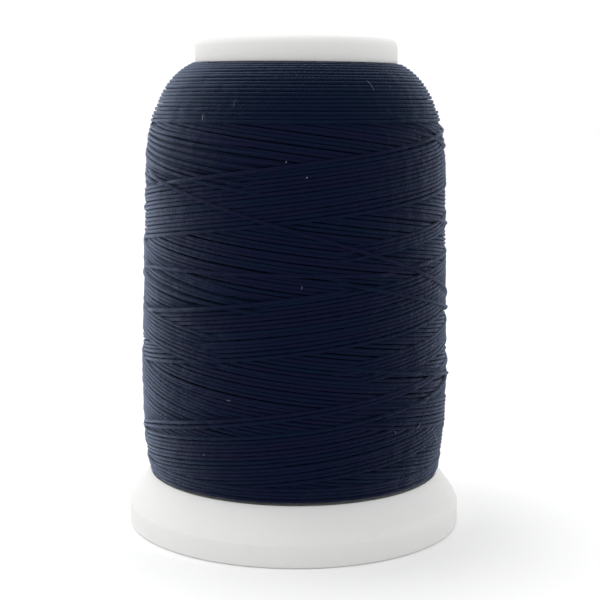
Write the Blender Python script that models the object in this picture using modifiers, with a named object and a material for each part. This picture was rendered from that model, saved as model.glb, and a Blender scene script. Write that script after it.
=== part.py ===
"""Snap spool of sewing thread, standing upright with its axis along +Z.

The spool comes apart into eight pieces. The snap base is the wide foot. The barrel stands in it and carries the
winding between its thread flange and the top cap. The base plug closes the barrel's lower end and keeps the snap base
on. A spindle sleeve joins the two end pieces, and each end has a blank round label. Lifting the barrel out of the snap
base by LOCK_TRAVEL opens the slot that holds the thread's end.

Sizes are in metres, and the origin is the centre of the foot's underside.
"""

import math

import bpy

MM = 0.001

# Driving dimensions
BASE_RADIUS = 25.0 * MM
SPOOL_HEIGHT = 72.0 * MM
COLLAR_RADIUS = 14.85 * MM
COLLAR_BOTTOM = 68.52 * MM
BARREL_RADIUS = 12.8 * MM
BARREL_WALL = 1.3 * MM
BORE_RADIUS = 4.25 * MM
LOCK_TRAVEL = 1.8 * MM
GAP = 0.3 * MM
FIT = 0.4 * MM
SIDES = 48
SHARP_ANGLE = math.radians(30)

# Snap base: a foot ring and a steep cone up to a lip, round a shallow dish that rises to a hub
RIM_FLAT_TOP = 2.7 * MM
RIM_CHAMFER = 0.3 * MM
CONE_FOOT = (24.68 * MM, 3.5 * MM)
CONE_HEAD = (22.3 * MM, 6.95 * MM)
LIP_TOP = (22.0 * MM, 7.25 * MM)
LIP_RADIUS = 21.65 * MM
DISH_EDGE = (21.55 * MM, 5.9 * MM)
DISH_SLOPE = 0.397
HUB_INNER = 13.3 * MM
HUB_OUTER = 14.9 * MM
HUB_BOTTOM = 4.4 * MM
GROOVE_DEPTH = 0.25 * MM
FOOT_WALL = 1.6 * MM
SHOULDER_INNER = (21.9 * MM, 4.7 * MM)
HUB_FILLET_HEIGHT = 7.2 * MM
RIB_COUNT = 6
RIB_THICKNESS = 1.0 * MM
RIB_START_DEG = 30.0

# Barrel: a tube with a thin thread flange, a slimmer tail in the hub, a detent bead and three keys
FLANGE_EDGE = (21.2 * MM, 7.24 * MM)
FLANGE_THICKNESS = 0.8 * MM
TAIL_RADIUS = 12.6 * MM
TAIL_BOTTOM = 2.7 * MM
BEAD_HEIGHT = 5.65 * MM
BEAD_RISE = 0.32 * MM
KEY_COUNT = 3
KEY_WIDTH = 1.6 * MM
KEY_REACH = 13.75 * MM
KEY_FOOT = 3.0 * MM
KEY_HEAD = 9.8 * MM
KEY_CLEARANCE = 0.4 * MM

# End pieces, sleeve and labels
CORNER_RADIUS = 1.5 * MM
PLATE = 1.2 * MM
RECESS_DEPTH = 0.6 * MM
RECESS_RADIUS = 12.1 * MM
SKIRT_WALL = 1.1 * MM
SKIRT_LENGTH = 6.2 * MM
BOSS_WALL = 1.2 * MM
BOSS_LENGTH = 5.2 * MM
SLEEVE_WALL = 1.0 * MM
PLUG_BOTTOM = 0.9 * MM
PLUG_RADIUS = 14.5 * MM
PLUG_PLATE = 1.4 * MM
PLUG_RECESS_DEPTH = 0.5 * MM
PLUG_RECESS_RADIUS = 13.7 * MM
PLUG_RECESS_INNER = 5.2 * MM
LABEL_THICKNESS = 0.2 * MM

# Winding: its middle tapers straight between two heights, and curves lead from there to its top and bottom edges
WINDING_TOP = (15.1 * MM, 68.2 * MM)
SHOULDER_HANDLES = ((21.46 * MM, 65.58 * MM), (22.19 * MM, 56.07 * MM))
TAPER_TOP = (22.19 * MM, 51.7 * MM)
TAPER_BOTTOM = (22.88 * MM, 22.3 * MM)
FOOT_HANDLES = ((22.88 * MM, 11.4 * MM), (22.0 * MM, 9.05 * MM))
WINDING_BOTTOM = (21.7 * MM, 7.62 * MM)

WHITE_PLASTIC = (0.86, 0.86, 0.84)
INNER_PLASTIC = (0.80, 0.80, 0.78)
NAVY_THREAD = (0.010, 0.015, 0.040)
LABEL_PAPER = (0.90, 0.89, 0.85)


def clear_scene():
    for thing in list(bpy.data.objects):
        bpy.data.objects.remove(thing)


def new_collection(name):
    collection = bpy.data.collections.new(name)
    bpy.context.scene.collection.children.link(collection)
    return collection


def plain_material(name, colour, roughness):
    material = bpy.data.materials.new(name)
    material.use_nodes = True
    shader = material.node_tree.nodes["Principled BSDF"]
    shader.inputs["Base Color"].default_value = (*colour, 1.0)
    shader.inputs["Roughness"].default_value = roughness
    shader.inputs["Metallic"].default_value = 0.0
    return material


def quarter_arc(start, end, steps):
    """Points of a quarter circle from a flat top edge at start round to a vertical side at end, both included."""
    centre = (start[0], end[1])
    radii = (end[0] - start[0], start[1] - end[1])
    turns = [math.pi / 2 * step / steps for step in range(steps + 1)]
    return [(centre[0] + radii[0] * math.sin(turn), centre[1] + radii[1] * math.cos(turn)) for turn in turns]


def bezier(start, first_handle, second_handle, end, steps):
    """Points along a cubic curve, both ends included."""
    points = []
    for step in range(steps + 1):
        t = step / steps
        weights = ((1 - t) ** 3, 3 * (1 - t) ** 2 * t, 3 * (1 - t) * t**2, t**3)
        corners = (start, first_handle, second_handle, end)
        points.append(tuple(sum(w * corner[axis] for w, corner in zip(weights, corners)) for axis in (0, 1)))
    return points


def turned(name, outline, collection, material):
    """A closed outline of (radius, height) points, down its outer side first, turned once round the Z axis."""
    mesh = bpy.data.meshes.new(name)
    count = len(outline)
    edges = [(i, (i + 1) % count) for i in range(count)]
    mesh.from_pydata([(radius, 0.0, height) for radius, height in outline], edges, [])
    piece = bpy.data.objects.new(name, mesh)
    collection.objects.link(piece)
    screw = piece.modifiers.new("turn", "SCREW")
    screw.axis = "Z"
    screw.angle = math.tau
    screw.steps = SIDES
    screw.render_steps = SIDES
    screw.use_merge_vertices = True
    screw.merge_threshold = 0.00001
    mesh.materials.append(material)
    return piece


def bake_and_smooth(piece):
    """Makes the piece's modifiers its mesh, shaded smooth with its corners kept sharp."""
    evaluated = piece.evaluated_get(bpy.context.evaluated_depsgraph_get())
    mesh = bpy.data.meshes.new_from_object(evaluated)
    piece.modifiers.clear()
    piece.data = mesh
    mesh.name = piece.name
    mesh.shade_smooth()
    mesh.set_sharp_from_angle(angle=SHARP_ANGLE)


def extruded(name, outline, thickness, collection):
    """A flat outline of (x, z) points given a thickness along Y, centred on Y = 0, as a shape that joins or cuts."""
    mesh = bpy.data.meshes.new(name)
    mesh.from_pydata([(x, 0.0, z) for x, z in outline], [], [range(len(outline))])
    tool = bpy.data.objects.new(name, mesh)
    collection.objects.link(tool)
    plate = tool.modifiers.new("thickness", "SOLIDIFY")
    plate.thickness = thickness
    plate.offset = 0.0
    tool.hide_render = True
    tool.display_type = "WIRE"
    return tool


def rectangle(low, high):
    return [(low[0], low[1]), (high[0], low[1]), (high[0], high[1]), (low[0], high[1])]


def combine(piece, tool, operation):
    boolean = piece.modifiers.new(f"{operation.lower()}_{tool.name}", "BOOLEAN")
    boolean.operation = operation
    boolean.solver = "EXACT"
    boolean.object = tool


def add_round_the_axis(piece, name, outline, thickness, count, start_deg, operation, tools):
    """Joins or cuts copies of an extruded outline, evenly spaced round the Z axis."""
    for index in range(count):
        tool = extruded(f"{name}_{index + 1}", outline, thickness, tools)
        tool.rotation_euler.z = math.radians(start_deg + 360.0 * index / count)
        combine(piece, tool, operation)


def dish_height(radius):
    """Height of the snap base's dish, which the barrel's thread flange follows."""
    return DISH_EDGE[1] + DISH_SLOPE * (DISH_EDGE[0] - radius)


def flange_height(radius):
    """Height of the thread flange's upper side."""
    return FLANGE_EDGE[1] + DISH_SLOPE * (FLANGE_EDGE[0] - radius)


def detent_groove(height):
    """One groove in the hub's wall, for the barrel's bead, from its lower edge up."""
    half, slope = 0.65 * MM, 0.2 * MM
    deep = HUB_INNER + GROOVE_DEPTH
    return [
        (HUB_INNER, height - half),
        (deep, height - half + slope),
        (deep, height + half - slope),
        (HUB_INNER, height + half),
    ]


def make_snap_base(parts, tools, plastic):
    rim = [(BASE_RADIUS, RIM_FLAT_TOP), (BASE_RADIUS, RIM_CHAMFER), (BASE_RADIUS - RIM_CHAMFER, 0.0)]
    foot_inner = BASE_RADIUS - FOOT_WALL
    outline = [
        LIP_TOP,
        CONE_HEAD,
        CONE_FOOT,
        (BASE_RADIUS - 0.1 * MM, 3.15 * MM),
        *rim,
        (foot_inner, 0.0),
        (foot_inner, RIM_FLAT_TOP),
        SHOULDER_INNER,
        (HUB_OUTER, HUB_FILLET_HEIGHT),
        (HUB_OUTER, HUB_BOTTOM),
        (HUB_INNER, HUB_BOTTOM),
        *detent_groove(BEAD_HEIGHT),
        *detent_groove(BEAD_HEIGHT + LOCK_TRAVEL),
        (HUB_INNER, dish_height(HUB_INNER)),
        DISH_EDGE,
        (LIP_RADIUS, LIP_TOP[1] - 0.15 * MM),
    ]
    base = turned("snap_base", outline, parts, plastic)
    rib = [
        (14.1 * MM, HUB_BOTTOM + 0.2 * MM),
        (24.2 * MM, 1.0 * MM),
        (24.2 * MM, 3.3 * MM),
        (22.4 * MM, 5.3 * MM),
        (14.1 * MM, 8.0 * MM),
    ]
    add_round_the_axis(base, "rib", rib, RIB_THICKNESS, RIB_COUNT, RIB_START_DEG, "UNION", tools)
    slot = rectangle((HUB_INNER - 0.4 * MM, HUB_BOTTOM - 0.4 * MM), (KEY_REACH + KEY_CLEARANCE, 9.6 * MM))
    slot_width = KEY_WIDTH + 2 * KEY_CLEARANCE
    add_round_the_axis(base, "key_slot", slot, slot_width, KEY_COUNT, 0.0, "DIFFERENCE", tools)
    return base


def make_barrel(parts, tools, plastic):
    inner = BARREL_RADIUS - BARREL_WALL
    top = SPOOL_HEIGHT - RECESS_DEPTH - PLATE - FIT
    bead_radius = TAIL_RADIUS + BEAD_RISE
    outline = [
        (BARREL_RADIUS, top),
        (BARREL_RADIUS, flange_height(BARREL_RADIUS)),
        FLANGE_EDGE,
        (FLANGE_EDGE[0], FLANGE_EDGE[1] - FLANGE_THICKNESS),
        (TAIL_RADIUS, flange_height(TAIL_RADIUS) - FLANGE_THICKNESS),
        (TAIL_RADIUS, BEAD_HEIGHT + 0.45 * MM),
        (bead_radius, BEAD_HEIGHT + 0.15 * MM),
        (bead_radius, BEAD_HEIGHT - 0.15 * MM),
        (TAIL_RADIUS, BEAD_HEIGHT - 0.45 * MM),
        (TAIL_RADIUS, TAIL_BOTTOM),
        (inner, TAIL_BOTTOM),
        (inner, top),
    ]
    barrel = turned("barrel", outline, parts, plastic)
    key = rectangle((inner + 0.5 * MM, KEY_FOOT), (KEY_REACH, KEY_HEAD))
    add_round_the_axis(barrel, "key", key, KEY_WIDTH, KEY_COUNT, 0.0, "UNION", tools)
    return barrel


def make_winding(parts, thread):
    inner = BARREL_RADIUS + GAP
    shoulder = bezier(WINDING_TOP, *SHOULDER_HANDLES, TAPER_TOP, 9)
    foot = bezier(TAPER_BOTTOM, *FOOT_HANDLES, WINDING_BOTTOM, 6)
    inner_bottom = flange_height(inner) + GAP + 0.06 * MM
    outline = [*shoulder, *foot, (inner, inner_bottom), (inner, WINDING_TOP[1])]
    return turned("thread_winding", outline, parts, thread)


def make_top_cap(parts, plastic):
    recess_floor = SPOOL_HEIGHT - RECESS_DEPTH
    plate_bottom = recess_floor - PLATE
    groove_top = plate_bottom + 0.2 * MM
    skirt_outer = BARREL_RADIUS - BARREL_WALL - FIT
    skirt_inner = skirt_outer - SKIRT_WALL
    boss_inner = BORE_RADIUS + SLEEVE_WALL + GAP
    boss_outer = boss_inner + BOSS_WALL
    corner = quarter_arc(
        (COLLAR_RADIUS - CORNER_RADIUS, SPOOL_HEIGHT), (COLLAR_RADIUS, SPOOL_HEIGHT - CORNER_RADIUS), 5
    )
    outline = [
        *corner,
        (COLLAR_RADIUS, COLLAR_BOTTOM),
        (BARREL_RADIUS + FIT, COLLAR_BOTTOM),
        (BARREL_RADIUS + FIT, groove_top),
        (skirt_outer, groove_top),
        (skirt_outer, plate_bottom - SKIRT_LENGTH),
        (skirt_inner, plate_bottom - SKIRT_LENGTH),
        (skirt_inner, plate_bottom),
        (boss_outer, plate_bottom),
        (boss_outer, plate_bottom - BOSS_LENGTH),
        (boss_inner, plate_bottom - BOSS_LENGTH),
        (boss_inner, plate_bottom),
        (BORE_RADIUS, plate_bottom),
        (BORE_RADIUS, recess_floor),
        (RECESS_RADIUS, recess_floor),
        (RECESS_RADIUS, SPOOL_HEIGHT),
    ]
    return turned("top_cap", outline, parts, plastic)


def make_base_plug(parts, plastic):
    plate_top = PLUG_BOTTOM + PLUG_PLATE
    recess_top = PLUG_BOTTOM + PLUG_RECESS_DEPTH
    skirt_outer = BARREL_RADIUS - BARREL_WALL - FIT
    skirt_inner = skirt_outer - SKIRT_WALL
    boss_inner = BORE_RADIUS + SLEEVE_WALL + GAP
    boss_outer = boss_inner + BOSS_WALL
    outline = [
        (PLUG_RADIUS, plate_top),
        (PLUG_RADIUS, PLUG_BOTTOM),
        (PLUG_RECESS_RADIUS, PLUG_BOTTOM),
        (PLUG_RECESS_RADIUS, recess_top),
        (PLUG_RECESS_INNER, recess_top),
        (PLUG_RECESS_INNER, PLUG_BOTTOM),
        (BORE_RADIUS, PLUG_BOTTOM),
        (BORE_RADIUS, plate_top),
        (boss_inner, plate_top),
        (boss_inner, plate_top + BOSS_LENGTH),
        (boss_outer, plate_top + BOSS_LENGTH),
        (boss_outer, plate_top),
        (skirt_inner, plate_top),
        (skirt_inner, plate_top + SKIRT_LENGTH),
        (skirt_outer, plate_top + SKIRT_LENGTH),
        (skirt_outer, plate_top),
    ]
    return turned("base_plug", outline, parts, plastic)


def make_ring(name, inner, outer, bottom, top, parts, material):
    outline = [(outer, top), (outer, bottom), (inner, bottom), (inner, top)]
    return turned(name, outline, parts, material)


def make_spindle_sleeve(parts, plastic):
    bottom = PLUG_BOTTOM + PLUG_PLATE + FIT
    top = SPOOL_HEIGHT - RECESS_DEPTH - PLATE - FIT
    return make_ring("spindle_sleeve", BORE_RADIUS, BORE_RADIUS + SLEEVE_WALL, bottom, top, parts, plastic)


def make_labels(parts, paper):
    top_low = SPOOL_HEIGHT - RECESS_DEPTH + GAP
    top_outer = RECESS_RADIUS - FIT
    base_inner = PLUG_RECESS_INNER + GAP
    base_outer = PLUG_RECESS_RADIUS - GAP
    return [
        make_ring("top_label", 5.0 * MM, top_outer, top_low, top_low + LABEL_THICKNESS, parts, paper),
        make_ring("base_label", base_inner, base_outer, PLUG_BOTTOM, PLUG_BOTTOM + LABEL_THICKNESS, parts, paper),
    ]


def hold_on_lock_axis(pieces, parts):
    """Parents everything that rises with the barrel to an empty on the lock's axis."""
    slide = bpy.data.objects.new("thread_lock_slide", None)
    slide.empty_display_size = BASE_RADIUS
    parts.objects.link(slide)
    for piece in pieces:
        piece.parent = slide


def main():
    clear_scene()
    parts = new_collection("snap_spool_of_thread")
    tools = new_collection("shape_tools")
    white = plain_material("white_plastic", WHITE_PLASTIC, 0.45)
    inner_white = plain_material("inner_plastic", INNER_PLASTIC, 0.5)
    thread = plain_material("navy_thread", NAVY_THREAD, 0.75)
    paper = plain_material("label_paper", LABEL_PAPER, 0.7)
    snap_base = make_snap_base(parts, tools, white)
    rising = [
        make_barrel(parts, tools, inner_white),
        make_winding(parts, thread),
        make_top_cap(parts, white),
        make_base_plug(parts, inner_white),
        make_spindle_sleeve(parts, inner_white),
        *make_labels(parts, paper),
    ]
    for piece in [snap_base, *rising]:
        bake_and_smooth(piece)
    hold_on_lock_axis(rising, parts)


main()
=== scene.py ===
"""Studio picture of a snap spool of thread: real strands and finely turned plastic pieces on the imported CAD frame."""

import math

import bmesh
import bpy
import numpy as np
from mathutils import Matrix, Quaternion, Vector


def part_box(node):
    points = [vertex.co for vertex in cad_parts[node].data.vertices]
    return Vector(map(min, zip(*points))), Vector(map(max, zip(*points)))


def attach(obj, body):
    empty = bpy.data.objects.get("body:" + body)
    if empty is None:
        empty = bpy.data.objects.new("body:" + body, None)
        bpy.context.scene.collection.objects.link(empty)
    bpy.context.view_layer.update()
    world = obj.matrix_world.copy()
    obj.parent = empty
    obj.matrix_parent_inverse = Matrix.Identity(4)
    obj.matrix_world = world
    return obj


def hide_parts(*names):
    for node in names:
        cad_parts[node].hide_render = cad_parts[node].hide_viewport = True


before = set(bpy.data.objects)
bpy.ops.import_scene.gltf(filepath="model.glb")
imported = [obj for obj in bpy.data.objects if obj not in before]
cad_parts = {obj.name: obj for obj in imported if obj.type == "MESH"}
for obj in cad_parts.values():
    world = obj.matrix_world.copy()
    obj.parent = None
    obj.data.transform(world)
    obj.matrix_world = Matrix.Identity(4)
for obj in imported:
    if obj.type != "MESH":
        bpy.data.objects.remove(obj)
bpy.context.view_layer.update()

MM = 0.001
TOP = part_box("top_cap")[1].z
COLLAR_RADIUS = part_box("top_cap")[1].x
# The spindle hole's radius in both end pieces, in millimetres
SPINDLE_HOLE = 4.25
# Faces round a turned piece, keys between the barrel and the foot, and ribs under the foot
SEGMENTS = 240
KEYS = 3
RIBS = 6

# The camera, fitted to the photograph's edges
CAMERA_DISTANCE = 200.75 * MM
CAMERA_HEIGHT = 63.45 * MM
CAMERA_ASIDE = 0.77 * MM
CAMERA_DOWN_DEG = 8.54
CAMERA_ROLL_DEG = 0.376
CAMERA_LENS = 80.83

# The outline of the wound package as (radius, height) points, in millimetres. Its lower edge is 0.5 mm higher than the
# CAD's, as the photograph shows. The shoulder and the foot are each bent by two inner bezier points.
PACKAGE_TOP = (15.1, 68.2)
PACKAGE_SHOULDER = ((21.46, 65.58), (22.19, 56.07))
PACKAGE_TAPER_TOP = (22.19, 51.7)
PACKAGE_TAPER_BOTTOM = (22.88, 22.3)
PACKAGE_FOOT = ((22.88, 11.4), (21.95, 9.4))
PACKAGE_BOTTOM = (21.8, 8.12)

# The strands, in millimetres. Each one's own radius is THREAD_RADIUS times a factor in THICKNESS_RANGE. LEAD is how far
# a strand of the two crossing layers climbs in one turn, and SINK is how far a strand sinks into those under it.
THREAD_RADIUS = 0.253
THICKNESS_RANGE = (0.975, 1.03)
ROW_PITCH = 0.575
LEAD = 17.5
SINK = 0.16
SINGLES_SINK = 0.18
# How far the first layer's underside lies inside the package's outline, over most of it and near its top
BURIED = 0.50
SHOULDER_BURIED = 0.44
TOP_BURIED = 0.24
# The mean height of one layer of strands, and how much of what lies above it presses the package in. The pressing is
# spread over some columns round the package and some millimetres along its outline.
ONE_LAYER = 0.40
GIVE = 0.9
GIVE_COLUMNS = 8.0
GIVE_LENGTH = 0.6
# A strand that would stand further out than this from the package's outline is pressed back by a share of the rest,
# which is smaller for the strands laid last
STANDS_OUT = 0.10
PRESSED = 0.6
LAST_PRESSED = 0.2
LAID_LAST = ("thread_shoulder", "thread_lower_rows", "thread_singles")

# The relief that the strands are laid on: columns round the package, millimetres of arc length in one row, and rows
# beyond the package's upper edge
COLUMNS = 720
RELIEF_STEP = 0.04
SPARE_ROWS = 60
# A strand under tension leaves a raised place along a curve of this radius at least, for up to so many columns, and its
# height is then smoothed over a few columns
TAUT_RADIUS = 26.0
TAUT_COLUMNS = 30
SMOOTH_COLUMNS = 9
# How a strand plunges between the others at its ends: over how many columns, how deep in its own radii, how curved
DIP_COLUMNS = 22
DIP_DEPTH = 2.4
DIP_CURVE = 1.5
# How far strands stray from their line, in millimetres, and over how many columns they do
WANDER = 0.035
SINGLES_WANDER = 0.05
WANDER_COLUMNS = 90

# The layers: where they start, how steeply they climb, and how far each strand may be out of its place in the row. The
# strands of a band start up to BAND_RAGGED_DEG out of line, and MEAN_RADIUS is the package's.
FALLING_HEIGHTS = (8.6, 61.5)
FALLING_JITTER = 0.09
RISING_STRANDS = 13
RISING_START_DEG = -64.0
RISING_START_HEIGHT = 8.0
RISING_SLOPE_DEG = 7.2
RISING_TURNS = 2.97
RISING_JITTER = 0.08
BAND_JITTER = 0.07
BAND_RAGGED_DEG = 9
MEAN_RADIUS = 22.5
# The level rows run from the first height up to the package's top, and from its bottom up to the second height
SHOULDER_ROWS_FROM = 60.0
LOWER_ROWS_TO = 10.6
EDGE_GAP = 0.05

# The strands' meshes: corners round a strand, columns from one ring of corners to the next, the most triangles that one
# piece may have, and the share of its radius that a strand's tip keeps
TUBE_SIDES = 8
TUBE_STRIDE = 4
TUBE_LIMIT = 190_000
TIP_SIZE = 0.15
# How much a strand is shaded by its own round side, and not by the package's: its loose outer fibres blur its edges.
# The strands near the top are shaded as rounder ones. The twist lays the fibres at a slant, which turns a strand's
# sheen a little back along it.
ROUNDNESS = 0.27
TOP_ROUNDNESS = 0.5
TOP_HEIGHTS = (60.0, 65.0)
SLANT = 0.09
# Three plies, and the length in which they turn once, in millimetres
PLIES = 3.0
TWIST_LENGTH = 1.5
# The lint: fibres placed at random, corners round one fibre, and rings along it
LINT_AT_RANDOM = 22
LINT_SIDES = 5
LINT_STEPS = 9

# Studio light: how bright the room is on the camera's side, against 1 elsewhere, between which directions it changes
# (as cosines from the bright side), and how far round the bright side is turned to the left
FRONT_LIGHT = 0.56
FRONT_EDGES = (-0.95, 0.1)
LEFT_TURN_DEG = 16.0
# The key light and the floor, in metres
KEY_LIGHT_PLACE = (-0.22, 0.16, 0.75)
KEY_LIGHT_TARGET = (0, 0, 0.03)
KEY_LIGHT_SIZE = (0.5, 0.5)
KEY_LIGHT_WATTS = 1.5
FLOOR_SIZE = 3.0
EXPOSURE = 0.22


# ---------------------------------------------------------------- general helpers


def add_object(name, mesh, body, material):
    """A visible piece that rides one of the CAD's bodies, with the one material it is given."""
    thing = bpy.data.objects.new(name, mesh)
    bpy.context.scene.collection.objects.link(thing)
    mesh.materials.append(material)
    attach(thing, body)
    return thing


def rounded(outline, steps=5):
    """A closed outline of (radius, height, rounding) corners, with each corner replaced by an arc of that rounding."""
    points = []
    count = len(outline)
    for index, (radius, height, rounding) in enumerate(outline):
        here = np.array((radius, height))
        before = np.array(outline[index - 1][:2]) - here
        after = np.array(outline[(index + 1) % count][:2]) - here
        if rounding <= 0:
            points.append(tuple(here))
            continue
        length_before, length_after = np.linalg.norm(before), np.linalg.norm(after)
        before, after = before / length_before, after / length_after
        half = math.acos(max(-1.0, min(1.0, float(before @ after)))) / 2
        trim = min(rounding / math.tan(half), 0.46 * length_before, 0.46 * length_after)
        size = trim * math.tan(half)
        middle = before + after
        centre = here + middle / np.linalg.norm(middle) * size / math.sin(half)
        start, end = here + before * trim - centre, here + after * trim - centre
        for step in range(steps + 1):
            t = step / steps
            arc = start * (1 - t) + end * t
            points.append(tuple(centre + arc / np.linalg.norm(arc) * size))
    return points


def turned(name, outline, segments=SEGMENTS):
    """A closed outline of (radius, height) points turned round the Z axis, as a mesh of quads."""
    points = np.array(outline)
    count = len(points)
    angles = np.arange(segments) * math.tau / segments
    radius = points[None, :, 0]
    places = np.stack(
        [
            radius * np.cos(angles)[:, None],
            radius * np.sin(angles)[:, None],
            np.repeat(points[None, :, 1], segments, axis=0),
        ],
        axis=-1,
    ).reshape(-1, 3)
    ring = np.arange(segments)[:, None] * count
    next_ring = (np.arange(1, segments + 1) % segments)[:, None] * count
    here, after = np.arange(count)[None, :], (np.arange(1, count + 1) % count)[None, :]
    faces = np.stack([ring + here, ring + after, next_ring + after, next_ring + here], axis=-1).reshape(-1, 4)
    mesh = quad_mesh(name, places, faces)
    bm = bmesh.new()
    bm.from_mesh(mesh)
    bmesh.ops.recalc_face_normals(bm, faces=bm.faces)
    bm.to_mesh(mesh)
    bm.free()
    mesh.shade_smooth()
    return mesh


def quad_mesh(name, places, faces):
    """A mesh of quads from arrays of places and of four corners for each face."""
    mesh = bpy.data.meshes.new(name)
    mesh.vertices.add(len(places))
    mesh.vertices.foreach_set("co", np.asarray(places, np.float32).ravel())
    mesh.loops.add(faces.size)
    mesh.loops.foreach_set("vertex_index", faces.astype(np.int32).ravel())
    mesh.polygons.add(len(faces))
    mesh.polygons.foreach_set("loop_start", np.arange(len(faces), dtype=np.int32) * 4)
    mesh.update(calc_edges=True)
    mesh.validate()
    return mesh


def bezier(points, steps):
    """Points along a cubic bezier curve through its first and last points."""
    t = np.linspace(0, 1, steps)[:, None]
    corners = np.array(points, float)
    weights = ((1 - t) ** 3, 3 * (1 - t) ** 2 * t, 3 * (1 - t) * t**2, t**3)
    return sum(weight * corner for weight, corner in zip(weights, corners))


def scaled(outline):
    """An outline in metres, from one in millimetres."""
    return [(r * MM, z * MM) for r, z in outline]


def tube_directions(line, out):
    """Unit vectors ahead along a line and to its side, from its points and its outward direction."""
    ahead = np.gradient(line, axis=0)
    ahead /= np.linalg.norm(ahead, axis=1)[:, None]
    side = np.cross(ahead, out)
    side /= np.linalg.norm(side, axis=1)[:, None]
    return ahead, side


def tube_rings(out, side, sides):
    """Unit vectors from each point of a line to the corners of the ring round it."""
    turn = np.arange(sides) * math.tau / sides
    return np.cos(turn)[None, :, None] * out[:, None, :] + np.sin(turn)[None, :, None] * side[:, None, :]


def tube_faces(rings, sides):
    """The corners of the quads between each ring of a tube and the next one."""
    first = np.arange(rings - 1)[:, None] * sides
    here, after = np.arange(sides)[None, :], (np.arange(1, sides + 1) % sides)[None, :]
    return np.stack([first + here, first + after, first + sides + after, first + sides + here], axis=-1)


# ---------------------------------------------------------------- materials


class Nodes:
    """Short names for building one material's nodes."""

    def __init__(self, name):
        self.material = bpy.data.materials.new(name)
        self.material.use_nodes = True
        self.tree = self.material.node_tree
        self.shader = self.tree.nodes["Principled BSDF"]

    def add(self, kind, inputs=None, **settings):
        node = self.tree.nodes.new(kind)
        for name, value in settings.items():
            setattr(node, name, value)
        for name, value in (inputs or {}).items():
            if isinstance(value, bpy.types.NodeSocket):
                self.tree.links.new(value, node.inputs[name])
            else:
                node.inputs[name].default_value = value
        return node

    def noise(self, vector, scale, detail=3.0, roughness=0.5):
        inputs = {"Vector": vector, "Scale": scale, "Detail": detail, "Roughness": roughness}
        return self.add("ShaderNodeTexNoise", inputs).outputs["Fac"]

    def spread(self, value, low, high, from_low=0.3, from_high=0.7):
        inputs = {"Value": value, "From Min": from_low, "From Max": from_high, "To Min": low, "To Max": high}
        return self.add("ShaderNodeMapRange", inputs).outputs["Result"]

    def math(self, operation, first, second=0.5):
        return self.add("ShaderNodeMath", {0: first, 1: second}, operation=operation).outputs[0]

    def mix(self, factor, first, second):
        node = self.add("ShaderNodeMix", data_type="RGBA")
        for index, value in ((0, factor), (6, first), (7, second)):
            if isinstance(value, bpy.types.NodeSocket):
                self.tree.links.new(value, node.inputs[index])
            else:
                node.inputs[index].default_value = value
        return node.outputs[2]

    def place(self):
        return self.add("ShaderNodeTexCoord").outputs["Object"]

    def bump(self, height, distance, strength=1.0, normal=None):
        inputs = {"Height": height, "Distance": distance, "Strength": strength}
        if normal is not None:
            inputs["Normal"] = normal
        return self.add("ShaderNodeBump", inputs).outputs["Normal"]

    def finish(self, linked, fixed):
        for name, socket in linked.items():
            self.tree.links.new(socket, self.shader.inputs[name])
        for name, value in fixed.items():
            self.shader.inputs[name].default_value = value
        return self.material


def moulded_plastic(name, colour, shade, roughness, translucence):
    """Satin moulded plastic: a faint mottle, a fine moulded grain, and scattered handled patches that are slightly
    duller and darker.
    """
    nodes = Nodes(name)
    place = nodes.place()
    mottle = nodes.noise(place, 90.0, 4.0)
    cloud = nodes.noise(place, 28.0, 2.0)
    grain = nodes.noise(place, 2600.0, 2.0)
    handled = nodes.noise(place, 420.0, 5.0, 0.65)
    base = nodes.mix(nodes.spread(cloud, 0.0, 1.0), (*colour, 1), (*shade, 1))
    base = nodes.mix(nodes.spread(handled, 0.0, 0.10, 0.55, 0.8), base, tuple(c * 0.72 for c in shade) + (1,))
    rough = nodes.math("ADD", nodes.spread(mottle, roughness - 0.06, roughness + 0.07), nodes.spread(handled, 0, 0.08))
    soft = nodes.bump(nodes.noise(place, 60.0, 2.0), 0.06 * MM, 0.35)
    normal = nodes.bump(grain, 0.012 * MM, 0.35, soft)
    fixed = {"Subsurface Weight": translucence, "Subsurface Scale": 1.2 * MM, "IOR": 1.49}
    fixed["Specular IOR Level"] = 0.3
    fixed["Subsurface Radius"] = (1.0, 0.95, 0.85)
    return nodes.finish({"Base Color": base, "Roughness": rough, "Normal": normal}, fixed)


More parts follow.
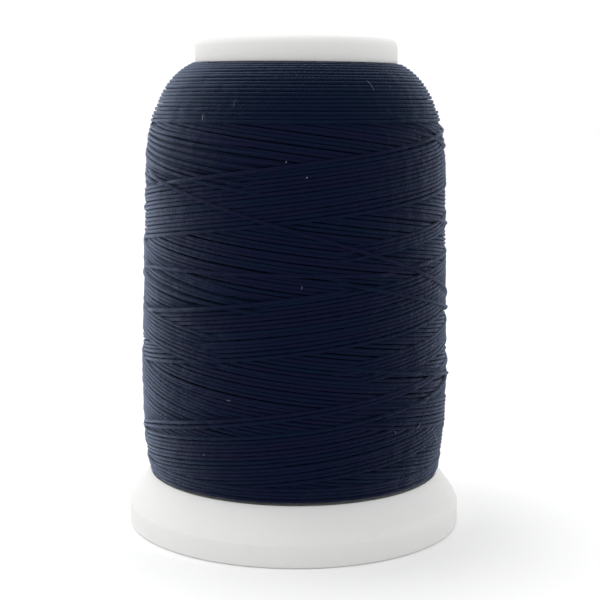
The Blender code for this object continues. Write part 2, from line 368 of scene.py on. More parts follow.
def thread_material(name):
    """Plied thread: UV holds the length along a strand, in millimetres, and the strand's number plus the way round."""
    nodes = Nodes(name)
    uv = nodes.add("ShaderNodeUVMap", uv_map="strand").outputs["UV"]
    split = nodes.add("ShaderNodeSeparateXYZ", {"Vector": uv})
    along, number_and_way = split.outputs["X"], split.outputs["Y"]
    strand = nodes.math("FLOOR", number_and_way)
    way = nodes.math("FRACT", number_and_way)
    # the plies turn not quite evenly
    uneven = nodes.math("MULTIPLY", nodes.noise(nodes.place(), 420.0, 2.0), 1.6)
    turn = nodes.math("ADD", nodes.math("ADD", nodes.math("MULTIPLY", along, 1 / TWIST_LENGTH), way), uneven)
    ply = nodes.math("PINGPONG", nodes.math("MULTIPLY", turn, PLIES), 0.5)
    ply_height = nodes.math("POWER", nodes.math("MULTIPLY", ply, 2.0), 0.6)
    fine = nodes.add("ShaderNodeCombineXYZ", {"X": nodes.math("MULTIPLY", turn, 40.0), "Y": along, "Z": strand})
    fibre = nodes.noise(fine.outputs[0], 1.6, 3.0, 0.6)
    seed = nodes.add("ShaderNodeTexWhiteNoise", {"W": strand}, noise_dimensions="1D").outputs["Value"]
    drift_place = nodes.add("ShaderNodeCombineXYZ", {"X": nodes.math("MULTIPLY", along, 0.12), "Y": strand})
    drift = nodes.noise(drift_place.outputs[0], 1.0, 2.0)
    hue = nodes.math("ADD", nodes.math("MULTIPLY", seed, 0.6), nodes.spread(drift, 0.0, 0.4))
    violet, teal = (0.0054, 0.0046, 0.0250, 1), (0.0010, 0.0080, 0.0235, 1)
    colour = nodes.mix(hue, violet, teal)
    # Painted shade: the colour darkens toward near-black in the grooves between the plies
    colour = nodes.mix(nodes.spread(ply_height, 0.75, 0.0, 0.0, 0.6), colour, (0.0010, 0.0016, 0.0060, 1))
    colour = nodes.mix(nodes.spread(fibre, 0.0, 0.22, 0.45, 0.8), colour, (0.014, 0.020, 0.042, 1))
    rough = nodes.spread(fibre, 0.52, 0.70)
    ply_bump = nodes.bump(ply_height, 0.06 * MM, 0.55)
    normal = nodes.bump(fibre, 0.035 * MM, 0.7, ply_bump)
    fixed = {
        "Specular IOR Level": 0.015,
        "Sheen Weight": 1.0,
        "Sheen Roughness": 0.355,
        "Sheen Tint": (0.54, 0.63, 0.83, 1.0),
    }
    return nodes.finish({"Base Color": colour, "Roughness": rough, "Normal": normal}, fixed)


def lint_material(name):
    """Loose fibres, from dusty blue to pale grey."""
    nodes = Nodes(name)
    place = nodes.place()
    tone = nodes.noise(place, 160.0, 2.0)
    colour = nodes.mix(nodes.spread(tone, 0, 1, 0.35, 0.65), (0.04, 0.06, 0.12, 1), (0.34, 0.37, 0.44, 1))
    rough = nodes.spread(nodes.noise(place, 3000.0, 2.0), 0.5, 0.8)
    normal = nodes.bump(nodes.noise(place, 9000.0, 2.0), 0.01 * MM, 0.5)
    fixed = {"Sheen Weight": 0.3, "Specular IOR Level": 0.3}
    return nodes.finish({"Base Color": colour, "Roughness": rough, "Normal": normal}, fixed)


def core_material(name):
    """Thread in level rows, for what shows between the strands, in a navy painted darker than theirs as shade in the
    gaps.
    """
    nodes = Nodes(name)
    place = nodes.place()
    height = nodes.add("ShaderNodeSeparateXYZ", {"Vector": place}).outputs["Z"]
    row = nodes.math("PINGPONG", nodes.math("MULTIPLY", height, 1 / (ROW_PITCH * MM)), 0.5)
    fibre = nodes.noise(place, 1500.0, 3.0)
    # Painted shade: both navies are darker than the strands' own, so the gaps between the strands read as shaded
    colour = nodes.mix(nodes.spread(fibre, 0, 1), (0.0010, 0.0018, 0.0070, 1), (0.003, 0.005, 0.015, 1))
    rough = nodes.spread(fibre, 0.65, 0.85)
    normal = nodes.bump(nodes.math("POWER", nodes.math("MULTIPLY", row, 2.0), 0.5), 0.22 * MM)
    fixed = {"Specular IOR Level": 0.02, "Sheen Weight": 0.3, "Sheen Roughness": 0.4}
    fixed["Sheen Tint"] = (0.42, 0.55, 0.90, 1.0)
    return nodes.finish({"Base Color": colour, "Roughness": rough, "Normal": normal}, fixed)


def paper_material(name):
    """Uncoated paper with one plain printed ring."""
    nodes = Nodes(name)
    place = nodes.place()
    ring_from, ring_to = 10.55 * MM, 11.0 * MM
    split = nodes.add("ShaderNodeSeparateXYZ", {"Vector": place})
    flat = nodes.add("ShaderNodeCombineXYZ", {"X": split.outputs["X"], "Y": split.outputs["Y"]}).outputs[0]
    away = nodes.add("ShaderNodeVectorMath", {0: flat}, operation="LENGTH").outputs["Value"]
    ring = nodes.math("MULTIPLY", nodes.math("GREATER_THAN", away, ring_from), nodes.math("LESS_THAN", away, ring_to))
    fibre = nodes.noise(place, 900.0, 6.0, 0.7)
    cloud = nodes.noise(place, 160.0, 3.0)
    paper = nodes.mix(nodes.spread(cloud, 0, 1), (0.86, 0.85, 0.80, 1), (0.92, 0.91, 0.87, 1))
    paper = nodes.mix(nodes.spread(fibre, 0.12, 0.0, 0.3, 0.5), paper, (0.62, 0.60, 0.55, 1))
    colour = nodes.mix(ring, paper, (0.020, 0.032, 0.085, 1))
    rough = nodes.spread(fibre, 0.72, 0.9)
    normal = nodes.bump(fibre, 0.03 * MM, 0.5)
    return nodes.finish({"Base Color": colour, "Roughness": rough, "Normal": normal}, {"Specular IOR Level": 0.3})


# ---------------------------------------------------------------- plastic pieces


def make_snap_foot(plastic):
    """The wide foot: rim, cone and lip outside, with the dish, the hub, its grooves and key slots inside."""
    outline = [
        (21.68, 7.95, 0.05),
        (21.84, 7.75, 0.1),
        (24.5, 4.25, 0.9),
        (25.0, 3.2, 0.9),
        (25.0, 0.0, 0.32),
        (23.4, 0.0, 0.3),
        (23.4, 2.7, 0.5),
        (21.9, 4.7, 0.8),
        (14.9, 7.2, 0.6),
        (14.9, 4.4, 0.25),
        (13.3, 4.4, 0.15),
        (13.3, 5.0, 0.0),
        (13.55, 5.2, 0.0),
        (13.55, 6.1, 0.0),
        (13.3, 6.3, 0.0),
        (13.3, 6.8, 0.0),
        (13.55, 7.0, 0.0),
        (13.55, 7.9, 0.0),
        (13.3, 8.1, 0.0),
        (13.3, 9.17, 0.15),
        (21.55, 5.9, 0.3),
        (21.6, 7.1, 0.1),
    ]
    mesh = turned("snap_foot", scaled(rounded(outline)))
    foot = add_object("snap_foot", mesh, "foot", plastic)
    cut_key_slots(foot)
    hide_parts("snap_base")
    for index in range(RIBS):
        make_rib(index, plastic)


def cut_key_slots(foot):
    """Cuts the three slots that the barrel's keys run in out of the foot's hub."""
    slot_size, slot_place = (1.3 * MM, 2.4 * MM, 5.6 * MM), (13.5 * MM, 0, 6.8 * MM)
    slot = bpy.data.meshes.new("key_slot")
    bm = bmesh.new()
    for index in range(KEYS):
        made = bmesh.ops.create_cube(bm, size=1.0)["verts"]
        bmesh.ops.scale(bm, vec=slot_size, verts=made)
        bmesh.ops.translate(bm, vec=slot_place, verts=made)
        turn = Quaternion((0, 0, 1), math.tau * index / KEYS).to_matrix()
        bmesh.ops.rotate(bm, verts=made, matrix=turn)
    bm.to_mesh(slot)
    bm.free()
    cutter = bpy.data.objects.new("key_slot", slot)
    bpy.context.scene.collection.objects.link(cutter)
    boolean = foot.modifiers.new("key_slots", "BOOLEAN")
    boolean.operation = "DIFFERENCE"
    boolean.solver = "EXACT"
    boolean.object = cutter
    bpy.context.view_layer.update()
    cut = bpy.data.meshes.new_from_object(foot.evaluated_get(bpy.context.evaluated_depsgraph_get()))
    foot.modifiers.clear()
    foot.data = cut
    cut.shade_smooth()
    cut.set_sharp_from_angle(angle=math.radians(40))
    bpy.data.objects.remove(cutter)


def make_rib(index, plastic):
    """One rib under the foot, from its hub out to its rim, with softened edges."""
    outline = [(14.1, 8.0), (22.4, 5.3), (24.2, 3.3), (24.2, 1.0), (14.1, 4.6)]
    half_thick = 0.5
    bm = bmesh.new()
    face = bm.faces.new([bm.verts.new((r * MM, -half_thick * MM, z * MM)) for r, z in outline])
    raised = bmesh.ops.extrude_face_region(bm, geom=[face])["geom"]
    moved = [item for item in raised if isinstance(item, bmesh.types.BMVert)]
    bmesh.ops.translate(bm, vec=(0, 2 * half_thick * MM, 0), verts=moved)
    bmesh.ops.bevel(bm, geom=bm.edges[:], offset=0.14 * MM, segments=2, affect="EDGES")
    bmesh.ops.recalc_face_normals(bm, faces=bm.faces)
    turn = Quaternion((0, 0, 1), math.radians((index + 0.5) * 360 / RIBS)).to_matrix()
    bmesh.ops.rotate(bm, verts=bm.verts, matrix=turn)
    mesh = bpy.data.meshes.new(f"foot_rib_{index + 1}")
    bm.to_mesh(mesh)
    bm.free()
    mesh.shade_smooth()
    mesh.set_sharp_from_angle(angle=math.radians(50))
    add_object(mesh.name, mesh, "foot", plastic)


def make_collar(plastic):
    """The cap above the thread: rounded corner, label recess and spindle hole outside, skirt and boss inside."""
    top, floor = TOP / MM, TOP / MM - 0.6
    plate = floor - 1.2
    edge, lower_edge = COLLAR_RADIUS / MM, 68.36
    outline = [
        (edge, top, 1.5),
        (edge, lower_edge, 0.10),
        (13.2, lower_edge, 0.1),
        (13.2, plate + 0.2, 0.1),
        (11.1, plate + 0.2, 0.0),
        (11.1, plate - 6.2, 0.3),
        (10.0, plate - 6.2, 0.3),
        (10.0, plate, 0.4),
        (6.75, plate, 0.4),
        (6.75, plate - 5.2, 0.3),
        (5.55, plate - 5.2, 0.3),
        (5.55, plate, 0.1),
        (SPINDLE_HOLE, plate, 0.15),
        (SPINDLE_HOLE, floor, 0.35),
        (12.1, floor, 0.2),
        (12.1, top, 0.3),
    ]
    mesh = turned("collar_cap", scaled(rounded(outline, 7)))
    collar = add_object("collar_cap", mesh, "spool", plastic)
    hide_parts("top_cap")


def make_plug(plastic):
    """The plug that closes the barrel's lower end."""
    bottom, top = 0.9, 2.3
    outline = [
        (14.5, top, 0.4),
        (14.5, bottom, 0.35),
        (13.7, bottom, 0.15),
        (13.7, bottom + 0.5, 0.12),
        (5.2, bottom + 0.5, 0.12),
        (5.2, bottom, 0.15),
        (SPINDLE_HOLE, bottom, 0.3),
        (SPINDLE_HOLE, top, 0.15),
        (5.55, top, 0.1),
        (5.55, top + 5.2, 0.3),
        (6.75, top + 5.2, 0.3),
        (6.75, top, 0.4),
        (10.0, top, 0.4),
        (10.0, top + 6.2, 0.3),
        (11.1, top + 6.2, 0.3),
        (11.1, top, 0.3),
    ]
    mesh = turned("lower_plug", scaled(rounded(outline, 4)), 180)
    plug = add_object("lower_plug", mesh, "spool", plastic)
    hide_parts("base_plug")


def make_label(name, node, paper):
    """A die-cut paper ring that lies very slightly wavy in its recess."""
    low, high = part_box(node)
    outer = high.x
    inner = (5.0 if node == "top_label" else 5.5) * MM
    waviness = 0.05 * MM
    radii = np.linspace(inner, outer, 9)
    section = [(r, high.z) for r in radii[::-1]] + [(r, low.z) for r in radii]
    mesh = turned(name, section, 144)
    places = np.empty(len(mesh.vertices) * 3, np.float32)
    mesh.vertices.foreach_get("co", places)
    places = places.reshape(-1, 3)
    angle = np.arctan2(places[:, 1], places[:, 0])
    share = (np.hypot(places[:, 0], places[:, 1]) - inner) / (outer - inner)
    places[:, 2] += waviness * share**2 * (np.sin(3 * angle + 0.6) + 0.5 * np.sin(7 * angle))
    mesh.vertices.foreach_set("co", places.ravel())
    mesh.update()
    mesh.set_sharp_from_angle(angle=math.radians(50))
    label = add_object(name, mesh, "spool", paper)
    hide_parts(node)


# ---------------------------------------------------------------- the thread


def package_profile():
    """Arc length, radius, height and outward normal along the package's outline, from its bottom edge up."""
    lower = bezier([PACKAGE_BOTTOM, *reversed(PACKAGE_FOOT), PACKAGE_TAPER_BOTTOM], 200)
    middle = np.linspace(PACKAGE_TAPER_BOTTOM, PACKAGE_TAPER_TOP, 200)
    upper = bezier([PACKAGE_TAPER_TOP, *reversed(PACKAGE_SHOULDER), PACKAGE_TOP], 300)
    points = np.vstack([lower[:-1], middle[:-1], upper])
    steps = np.diff(points, axis=0)
    arc = np.concatenate([[0], np.cumsum(np.hypot(*steps.T))])
    slope = np.gradient(points, arc, axis=0)
    normal = np.stack([slope[:, 1], -slope[:, 0]], axis=1)
    normal /= np.linalg.norm(normal, axis=1)[:, None]
    return arc, points, normal


ARC, POINTS, NORMALS = package_profile()
ARC_END = ARC[-1]


def arc_at(height):
    """The arc length at which the package's outline reaches a height."""
    return float(np.interp(height, POINTS[:, 1], ARC))


def outline_at(arc):
    """Radius, height, and the outward normal's radial and upward parts, on the package's outline at an arc length."""
    return [np.interp(arc, ARC, values) for values in (*POINTS.T, *NORMALS.T)]


def buried_at(arc):
    """How far the first layer's underside lies inside the package's outline, which it comes nearer to at the top."""
    places = (0, arc_at(SHOULDER_ROWS_FROM), arc_at(FALLING_HEIGHTS[1]), ARC_END)
    return np.interp(arc, places, (BURIED, BURIED, SHOULDER_BURIED, TOP_BURIED))


def columns_at(angles_deg):
    """The relief's columns at angles round the package."""
    return np.round(angles_deg * COLUMNS / 360).astype(int) % COLUMNS


class Winding:
    """Strands laid one after another on a relief: the surface's height by column round the package and arc length."""

    def __init__(self, seed):
        self.relief = np.zeros((COLUMNS, int(ARC_END / RELIEF_STEP) + SPARE_ROWS))
        self.random = np.random.default_rng(seed)
        self.batches = {}
        self.count = 0

    def lay(self, batch, angles_deg, arcs, start_dip=False, end_dip=False, wander=WANDER, sink=SINK):
        """Lays one strand through (angle, arc length) samples that are one column apart."""
        thick = THREAD_RADIUS * self.random.uniform(*THICKNESS_RANGE)
        arcs = arcs + self.slow_noise(len(arcs), WANDER_COLUMNS) * wander
        columns = columns_at(angles_deg)
        reach = int(thick / RELIEF_STEP)
        offsets = np.arange(-reach, reach + 1)
        crown = np.sqrt(thick**2 - (offsets * RELIEF_STEP) ** 2)
        rows = np.round(arcs / RELIEF_STEP).astype(int)[:, None] + offsets
        rows = np.clip(rows, 0, self.relief.shape[1] - 1)
        under = self.relief[columns[:, None], rows]
        centre = (under + crown - np.where(under > 0, sink, 0)).max(axis=1)
        centre = pulled_tight(centre)
        dip = np.zeros(len(arcs))
        ramp = (1 - np.linspace(0, 1, DIP_COLUMNS)) ** DIP_CURVE * DIP_DEPTH * thick
        if start_dip:
            dip[:DIP_COLUMNS] = ramp
        if end_dip:
            dip[-DIP_COLUMNS:] = np.maximum(dip[-DIP_COLUMNS:], ramp[::-1])
        centre = centre - dip
        np.maximum.at(self.relief, (columns[:, None], rows), centre[:, None] + crown)
        self.count += 1
        self.batches.setdefault(batch, []).append((angles_deg, arcs, centre, thick, self.count))

    def give_way(self):
        """How far each place is pressed in by the layers on it, so that the package keeps its even outline."""
        rows = int(ARC_END / RELIEF_STEP) + 1
        relief = self.relief[:, :rows]
        relief = blurred(np.hstack([relief, relief[:, ::-1]]), GIVE_COLUMNS, 0)
        relief = blurred(relief, GIVE_LENGTH / RELIEF_STEP, 1)[:, :rows]
        self.given = GIVE * np.maximum(relief - ONE_LAYER, 0)

    def given_at(self, angles_deg, arcs):
        """How far the package has given way at angles and arc lengths."""
        rows = np.clip(np.round(arcs / RELIEF_STEP).astype(int), 0, self.given.shape[1] - 1)
        return self.given[columns_at(angles_deg), rows]

    def slow_noise(self, length, period):
        """Smooth random values about zero that change over about one period of samples."""
        knots = self.random.normal(0, 1, int(length / period) + 4)
        at = np.linspace(0, len(knots) - 2, length)
        left = np.floor(at).astype(int)
        t = at - left
        t = t * t * (3 - 2 * t)
        return knots[left] * (1 - t) + knots[left + 1] * t


def blurred(values, spread, axis):
    """Gaussian blur along one axis, whose two ends meet."""
    frequency = np.fft.rfftfreq(values.shape[axis])
    kept = np.exp(-2 * (math.pi * spread * frequency) ** 2)
    kept = kept[:, None] if axis == 0 else kept[None, :]
    return np.fft.irfft(np.fft.rfft(values, axis=axis) * kept, values.shape[axis], axis)


def pulled_tight(heights):
    """A strand under tension leaves a raised place along a tangent: its height falls away slowly on both sides."""
    step = POINTS[:, 0].max() * math.tau / COLUMNS
    raised = heights.copy()
    for away in range(1, min(TAUT_COLUMNS, len(heights) - 1)):
        drop = (away * step) ** 2 / (2 * TAUT_RADIUS)
        raised[away:] = np.maximum(raised[away:], heights[:-away] - drop)
        raised[:-away] = np.maximum(raised[:-away], heights[away:] - drop)
    kernel = np.hanning(SMOOTH_COLUMNS)
    padded = np.pad(raised, SMOOTH_COLUMNS // 2, mode="edge")
    return np.convolve(padded, kernel / kernel.sum(), mode="valid")


def climb(start_deg, start_height, slope_deg, turns, bend_deg=0.0):
    """Samples of a strand that starts at an angle and height and climbs at a slope that may bend along its way."""
    count = int(abs(turns) * COLUMNS) + 1
    angles = start_deg + np.arange(count) * 360.0 / COLUMNS
    share = np.linspace(-0.5, 0.5, count)
    slopes = np.tan(np.radians(slope_deg + bend_deg * share))
    arcs = np.empty(count)
    arcs[0] = arc_at(start_height)
    for index in range(1, count):
        radius = np.interp(arcs[index - 1], ARC, POINTS[:, 0])
        arcs[index] = arcs[index - 1] + slopes[index] * radius * math.tau / COLUMNS
    return angles, arcs


def wind_package():
    """Winds the whole package, from its first layer to the single strands that cross it last."""
    winding = Winding(seed=7)
    lay_falling_layer(winding)
    lay_rising_band(winding)
    lay_narrow_bands(winding)
    lay_level_rows(winding)
    lay_single_strands(winding)
    winding.give_way()
    return winding


def turned_columns(turns):
    """The degrees turned by at each column of so many turns, from 0."""
    return np.arange(int(turns * COLUMNS) + 1) * 360.0 / COLUMNS


def lay_falling_layer(winding):
    """The layer under everything else: strands side by side that all fall to the right."""
    starts = round(LEAD / ROW_PITCH)
    low, high = (arc_at(height) for height in FALLING_HEIGHTS)
    turned_by = turned_columns((high - low) / LEAD)
    arcs = high - LEAD * turned_by / 360.0
    for start in range(starts):
        jitter = winding.random.uniform(-FALLING_JITTER, FALLING_JITTER)
        angles = (start + jitter) * 360.0 / starts + turned_by
        winding.lay("thread_falling", angles, arcs)


def lay_rising_band(winding):
    """The broad band that climbs round the package over the falling layer. Its strands start one after another."""
    for index in range(RISING_STRANDS):
        jitter = winding.random.uniform(-RISING_JITTER, RISING_JITTER)
        start = RISING_START_DEG - (index + jitter) * 360.0 * ROW_PITCH / LEAD
        angles, arcs = climb(start, RISING_START_HEIGHT, RISING_SLOPE_DEG, RISING_TURNS)
        winding.lay("thread_rising", angles, arcs)


def lay_band(winding, start_deg, start_height, slope_deg, turns, strands, fan=0.0, pitch=ROW_PITCH):
    """Strands side by side that rise or fall together, or fan out. Each plunges between the others at both ends."""
    flip = 1 if slope_deg > 0 else -1
    for index in range(strands):
        ragged = winding.random.uniform(-BAND_RAGGED_DEG, BAND_RAGGED_DEG)
        angles, arcs = climb(start_deg + ragged, start_height, slope_deg + fan * index, turns)
        shift = flip * (index + winding.random.uniform(-BAND_JITTER, BAND_JITTER)) * pitch
        tilt = math.tan(math.radians(slope_deg)) * MEAN_RADIUS * math.radians(ragged)
        winding.lay("thread_bands", angles, arcs + shift + tilt, start_dip=True, end_dip=True)


def lay_narrow_bands(winding):
    """Bands and fans over the broad band: start angle and height, slope, turns, strands, fan and pitch of each."""
    bands = [
        # right-hand side: short rising bands, and a falling one over the broad band
        (16, 24.6, 7.2, 0.62, 6, 0.0),
        (14, 41.6, 7.4, 0.60, 4, 0.0),
        (28, 22.0, -7.2, 0.45, 7, 0.0),
        (46, 60.6, -13.0, 0.15, 3, 1.5, 0.85),
        # left-hand side: falling fans that start steeply at the edge
        (-114, 60.3, -5.0, 0.30, 7, -0.8, 0.52),
        (-114, 45.2, -12.0, 0.28, 8, 0.8, 0.88),
        (-112, 28.1, -11.0, 0.26, 7, 0.6, 0.84),
        # behind
        (150, 40.0, -7.2, 0.5, 8, 0.0),
        (120, 24.0, -7.4, 0.45, 7, 0.0),
        (165, 56.0, -9.0, 0.3, 7, 0.3),
    ]
    for band in bands:
        lay_band(winding, *band)


def lay_level_rows(winding):
    """The rows that close the package: level ones round its shoulder and round its lower edge."""
    lay_rows(winding, "thread_shoulder", 180, arc_at(SHOULDER_ROWS_FROM), ARC_END - EDGE_GAP, start_dip=True)
    lay_rows(winding, "thread_lower_rows", 150, EDGE_GAP, arc_at(LOWER_ROWS_TO), end_dip=True)


def lay_rows(winding, batch, start_deg, low, high, **dips):
    """One strand that goes round from one arc length up to another, by one row in each turn."""
    turned_by = turned_columns((high - low) / ROW_PITCH)
    winding.lay(batch, turned_by + start_deg, low + turned_by * ROW_PITCH / 360.0, **dips)


def lay_single_strands(winding):
    """Single strands laid last, which stand out from the rest: start angle and height, slope, turns and bend."""
    singles = [
        (-64, 51.0, 8.1, 0.50, 0.0),
        (-76, 53.4, -17.2, 0.54, -9.0),
        (-82, 39.0, 0.6, 0.34, -6.0),
        (12, 39.2, -12.8, 0.30, 0.0),
        (-84, 15.4, 7.8, 0.56, -6.0),
        (-84, 14.7, 8.0, 0.58, -6.0),
        (14, 19.2, 7.6, 0.30, 2.0),
        (-72, 32.9, 7.8, 0.26, 2.0),
        (18, 27.2, -9.5, 0.22, 0.0),
        (30, 48.2, -7.6, 0.24, 0.0),
        (42, 40.2, 3.4, 0.24, 0.0),
        (130, 50.0, -12.0, 0.33, 0.0),
        (190, 30.0, 10.0, 0.2, 0.0),
        (110, 22.0, 9.5, 0.4, 3.0),
        (196, 53.0, -13.0, 0.18, 0.0),
    ]
    for start, height, slope, turns, bend in singles:
        angles, arcs = climb(start, height, slope, turns, bend)
        winding.lay("thread_singles", angles, arcs, True, True, wander=SINGLES_WANDER, sink=SINGLES_SINK)


def strand_tube(winding, pressed, angles_deg, arcs, centre, thick, number):
    """One strand's vertex places, faces, UVs and shading normals. Its tips narrow to close it at both ends."""
    pick = np.unique(np.append(np.arange(0, len(arcs), TUBE_STRIDE), len(arcs) - 1))
    arc = arcs[pick]
    phi = np.radians(angles_deg[pick])
    radius, height, normal_r, normal_z = outline_at(arc)
    above = centre[pick] - winding.given_at(angles_deg[pick], arc)
    above -= pressed * np.maximum(above + THREAD_RADIUS - BURIED - STANDS_OUT, 0)
    lift = above - buried_at(arc)
    radial = radius + normal_r * lift
    line = np.stack([radial * np.sin(phi), -radial * np.cos(phi), height + normal_z * lift], axis=1)
    out = np.stack([normal_r * np.sin(phi), -normal_r * np.cos(phi), normal_z], axis=1)
    ahead, side = tube_directions(line, out)
    out = np.cross(side, ahead)
    size = np.full(len(line), thick)
    size[[0, -1]] = thick * TIP_SIZE
    ring = tube_rings(out, side, TUBE_SIDES)
    places = (line[:, None, :] + ring * size[:, None, None]).reshape(-1, 3) * MM
    top_arcs = [arc_at(level) for level in TOP_HEIGHTS]
    round_share = np.interp(arc, top_arcs, (ROUNDNESS, TOP_ROUNDNESS))[:, None, None]
    shading = round_share * ring + (1 - round_share) * out[:, None, :] - SLANT * ahead[:, None, :]
    shading = (shading / np.linalg.norm(shading, axis=2)[:, :, None]).reshape(-1, 3)
    faces = tube_faces(len(line), TUBE_SIDES).reshape(-1, 4)
    return places, faces, strand_uvs(line, number), shading


def strand_uvs(line, number):
    """For each face corner of a strand: the length along it, and its number plus the share of the way round it."""
    length = np.concatenate([[0], np.cumsum(np.linalg.norm(np.diff(line, axis=0), axis=1))])
    u = np.stack([length[:-1], length[:-1], length[1:], length[1:]], axis=-1)
    u = np.repeat(u[:, None, :], TUBE_SIDES, axis=1)
    below_one = 0.999
    v_here = number + np.arange(TUBE_SIDES) / TUBE_SIDES * below_one
    v_after = number + np.arange(1, TUBE_SIDES + 1) / TUBE_SIDES * below_one
    v = np.broadcast_to(np.stack([v_here, v_after, v_after, v_here], axis=-1), u.shape)
    return np.stack([u, v], axis=-1).reshape(-1, 2)


def make_thread(winding, material):
    """One or more pieces for each batch of strands."""
    for batch, strands in winding.batches.items():
        pressed = LAST_PRESSED if batch in LAID_LAST else PRESSED
        groups, size = [[]], 0
        for strand in strands:
            arcs = strand[1]
            triangles = len(arcs) / TUBE_STRIDE * TUBE_SIDES * 2
            if size + triangles > TUBE_LIMIT and groups[-1]:
                groups.append([])
                size = 0
            groups[-1].append(strand)
            size += triangles
        for index, group in enumerate(groups):
            make_thread_piece(f"{batch}_{index + 1}", winding, pressed, group, material)


def make_thread_piece(name, winding, pressed, strands, material):
    """One piece of the thread, from its strands' tubes."""
    places, faces, coordinates, shading, count = [], [], [], [], 0
    for strand in strands:
        some_places, some_faces, some_coordinates, some_shading = strand_tube(winding, pressed, *strand)
        places.append(some_places)
        faces.append(some_faces + count)
        coordinates.append(some_coordinates)
        shading.append(some_shading)
        count += len(some_places)
    mesh = quad_mesh(name, np.vstack(places), np.vstack(faces))
    layer = mesh.uv_layers.new(name="strand")
    layer.uv.foreach_set("vector", np.vstack(coordinates).astype(np.float32).ravel())
    mesh.shade_smooth()
    mesh.normals_split_custom_set_from_vertices(np.vstack(shading))
    add_object(name, mesh, "spool", material)


def make_lint(material):
    """Short loose fibres on the thread: angle, height and length of each. The photograph shows the first six."""
    random = np.random.default_rng(5)
    fibres = [(-45, 64.5, 0.5), (32, 65.0, 1.7), (-3, 55.0, 0.3), (4, 53.0, 0.3), (38, 17.5, 0.35), (-84, 26.0, 0.9)]
    for _ in range(LINT_AT_RANDOM):
        fibres.append((random.uniform(-180, 180), random.uniform(12, 64), random.uniform(0.3, 1.2)))
    places, faces = [], []
    for number, fibre in enumerate(fibres):
        places.append(lint_places(random, *fibre))
        faces.append(number * LINT_STEPS * LINT_SIDES + tube_faces(LINT_STEPS, LINT_SIDES).reshape(-1, 4))
    mesh = quad_mesh("thread_lint", np.vstack(places), np.vstack(faces))
    mesh.shade_smooth()
    add_object("thread_lint", mesh, "spool", material)


def lint_places(random, angle, height, length):
    """Vertex places of one slightly bent fibre, whose middle stands a little further out than its ends."""
    arc, phi = arc_at(height), math.radians(angle)
    radius, base, normal_r, normal_z = outline_at(arc)
    out = np.array((normal_r * math.sin(phi), -normal_r * math.cos(phi), normal_z))
    across = np.array((math.cos(phi), math.sin(phi), 0.0))
    up = np.cross(across, out)
    heading, bend = random.uniform(0, math.pi), random.uniform(-0.4, 0.4) / length
    along = np.linspace(-length / 2, length / 2, LINT_STEPS)
    x = along * math.cos(heading) - bend * along**2 * math.sin(heading)
    y = along * math.sin(heading) + bend * along**2 * math.cos(heading)
    lift = 0.02 + random.uniform(0.04, 0.12) * (1 - (2 * along / length) ** 2)
    middle = np.array((radius * math.sin(phi), -radius * math.cos(phi), base))
    middle += (BURIED - buried_at(arc) + STANDS_OUT) * out
    line = middle + x[:, None] * across + y[:, None] * up + lift[:, None] * out
    side = tube_directions(line, out)[1]
    ring = tube_rings(out[None], side, LINT_SIDES)
    thick = random.uniform(0.016, 0.030) * np.where(np.abs(along) > 0.45 * length, 0.4, 1.0)
    return (line[:, None, :] + ring * thick[:, None, None]).reshape(-1, 3) * MM


def make_core(material):
    """The body of thread under the strands, which closes the package's inside, top and bottom. Its material's navy is
    painted darker than the strands', as shade.
    """
    barrel_radius, flange_top = 13.1, 10.95
    low, high = POINTS[0, 1], POINTS[-1, 1]
    picked = np.linspace(0, ARC_END, 60)
    radius, height, normal_r, normal_z = outline_at(picked)
    # deeper under the strands along the package's side than at its two edges
    depth = buried_at(picked) + np.interp(picked, (0, 4, ARC_END - 6, ARC_END), (-0.1, 0.3, 0.3, -0.1))
    radius = radius - depth * normal_r
    height = np.clip(height - depth * normal_z, low + 0.25, high - 0.25)
    outline = list(zip(radius[::-1], height[::-1]))
    outline += [(radius[0], low + 0.2), (barrel_radius, flange_top)]
    outline += [(barrel_radius, high - 0.2), (radius[-1] - 0.1, high - 0.2)]
    mesh = turned("thread_core", scaled(outline), 120)
    core = add_object("thread_core", mesh, "spool", material)
    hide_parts("thread_winding")


# ---------------------------------------------------------------- the studio


def make_floor():
    """The white sheet that the spool stands on."""
    mesh = bpy.data.meshes.new("studio_floor")
    bm = bmesh.new()
    bmesh.ops.create_grid(bm, x_segments=8, y_segments=8, size=FLOOR_SIZE)
    bm.to_mesh(mesh)
    bm.free()
    floor = bpy.data.objects.new("studio_floor", mesh)
    bpy.context.scene.collection.objects.link(floor)
    nodes = Nodes("studio_floor")
    place = nodes.place()
    cloud = nodes.noise(place, 6.0, 3.0)
    colour = nodes.mix(nodes.spread(cloud, 0, 1), (0.94, 0.94, 0.94, 1), (0.96, 0.96, 0.96, 1))
    normal = nodes.bump(nodes.noise(place, 900.0, 3.0), 0.02 * MM, 0.2)
    material = nodes.finish({"Base Color": colour, "Normal": normal}, {"Roughness": 0.6, "Specular IOR Level": 0.2})
    mesh.materials.append(material)


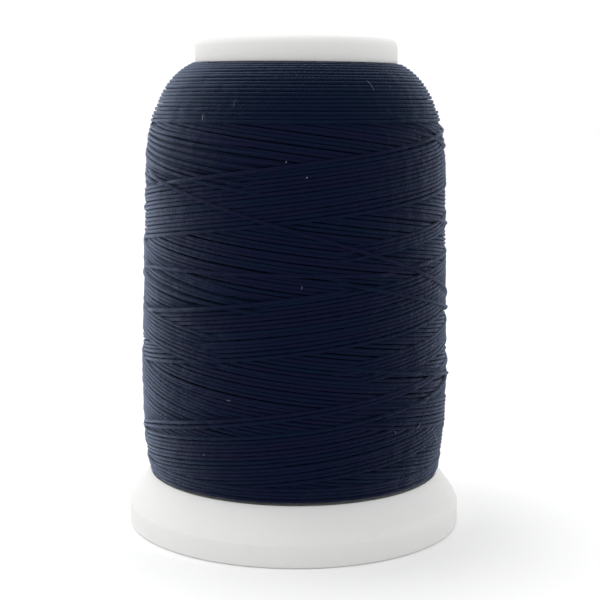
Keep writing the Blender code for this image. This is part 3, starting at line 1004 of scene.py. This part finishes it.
def make_world():
    """Even white light that is dimmer on the camera's side. The camera sees it as plain white."""
    world = bpy.data.worlds.new("studio_light")
    bpy.context.scene.world = world
    world.use_nodes = True
    tree = world.node_tree
    background = tree.nodes["Background"]
    background.inputs["Color"].default_value = (1.0, 1.0, 1.0, 1.0)
    direction = tree.nodes.new("ShaderNodeTexCoord")
    bright_side = math.radians(90.0 + LEFT_TURN_DEG)
    along = tree.nodes.new("ShaderNodeVectorMath")
    along.operation = "DOT_PRODUCT"
    along.inputs[1].default_value = (math.cos(bright_side), math.sin(bright_side), 0.0)
    tree.links.new(direction.outputs["Generated"], along.inputs[0])
    falloff = tree.nodes.new("ShaderNodeMapRange")
    falloff.interpolation_type = "SMOOTHSTEP"
    for name, value in zip(("From Min", "From Max", "To Min", "To Max"), (*FRONT_EDGES, FRONT_LIGHT, 1.0)):
        falloff.inputs[name].default_value = value
    tree.links.new(along.outputs["Value"], falloff.inputs["Value"])
    path = tree.nodes.new("ShaderNodeLightPath")
    strength = tree.nodes.new("ShaderNodeMath")
    strength.operation = "MAXIMUM"
    tree.links.new(falloff.outputs["Result"], strength.inputs[0])
    tree.links.new(path.outputs["Is Camera Ray"], strength.inputs[1])
    tree.links.new(strength.outputs[0], background.inputs["Strength"])


def make_key_light():
    """One large soft light, above and behind the spool and to its left."""
    data = bpy.data.lights.new("key_light", "AREA")
    data.shape = "RECTANGLE"
    data.size, data.size_y = KEY_LIGHT_SIZE
    data.energy = KEY_LIGHT_WATTS
    light = bpy.data.objects.new("key_light", data)
    bpy.context.scene.collection.objects.link(light)
    light.location = KEY_LIGHT_PLACE
    light.rotation_mode = "QUATERNION"
    light.rotation_quaternion = (Vector(KEY_LIGHT_PLACE) - Vector(KEY_LIGHT_TARGET)).to_track_quat("Z", "Y")


def make_camera():
    """The camera that stands where the photograph's did."""
    data = bpy.data.cameras.new("camera")
    data.lens = CAMERA_LENS
    data.sensor_width = 36.0
    data.clip_start = 0.01
    camera = bpy.data.objects.new("camera", data)
    bpy.context.scene.collection.objects.link(camera)
    camera.location = (CAMERA_ASIDE, -CAMERA_DISTANCE, CAMERA_HEIGHT)
    camera.rotation_mode = "QUATERNION"
    tilt = Quaternion((1, 0, 0), math.radians(90 - CAMERA_DOWN_DEG))
    roll = Quaternion((0, 0, 1), math.radians(CAMERA_ROLL_DEG))
    camera.rotation_quaternion = tilt @ roll
    bpy.context.scene.camera = camera


def main():
    """Builds the studio, then the plastic and paper pieces, then the thread."""
    make_camera()
    make_world()
    make_floor()
    make_key_light()
    scene = bpy.context.scene
    scene.view_settings.view_transform = "Standard"
    scene.view_settings.exposure = EXPOSURE
    white = moulded_plastic("satin_white_plastic", (0.80, 0.80, 0.785), (0.77, 0.77, 0.76), 0.42, 0.25)
    inner_white = moulded_plastic("natural_white_plastic", (0.78, 0.78, 0.76), (0.74, 0.74, 0.72), 0.48, 0.25)
    paper = paper_material("label_paper_print")
    make_snap_foot(white)
    make_collar(white)
    make_plug(inner_white)
    make_label("top_paper_ring", "top_label", paper)
    make_label("base_paper_ring", "base_label", paper)
    for node in ("barrel", "spindle_sleeve"):
        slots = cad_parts[node].data.materials
        slots.clear()
        slots.append(inner_white)
    make_core(core_material("thread_core_navy_painted_shade"))
    winding = wind_package()
    make_thread(winding, thread_material("plied_navy_thread"))
    make_lint(lint_material("pale_lint"))


main()
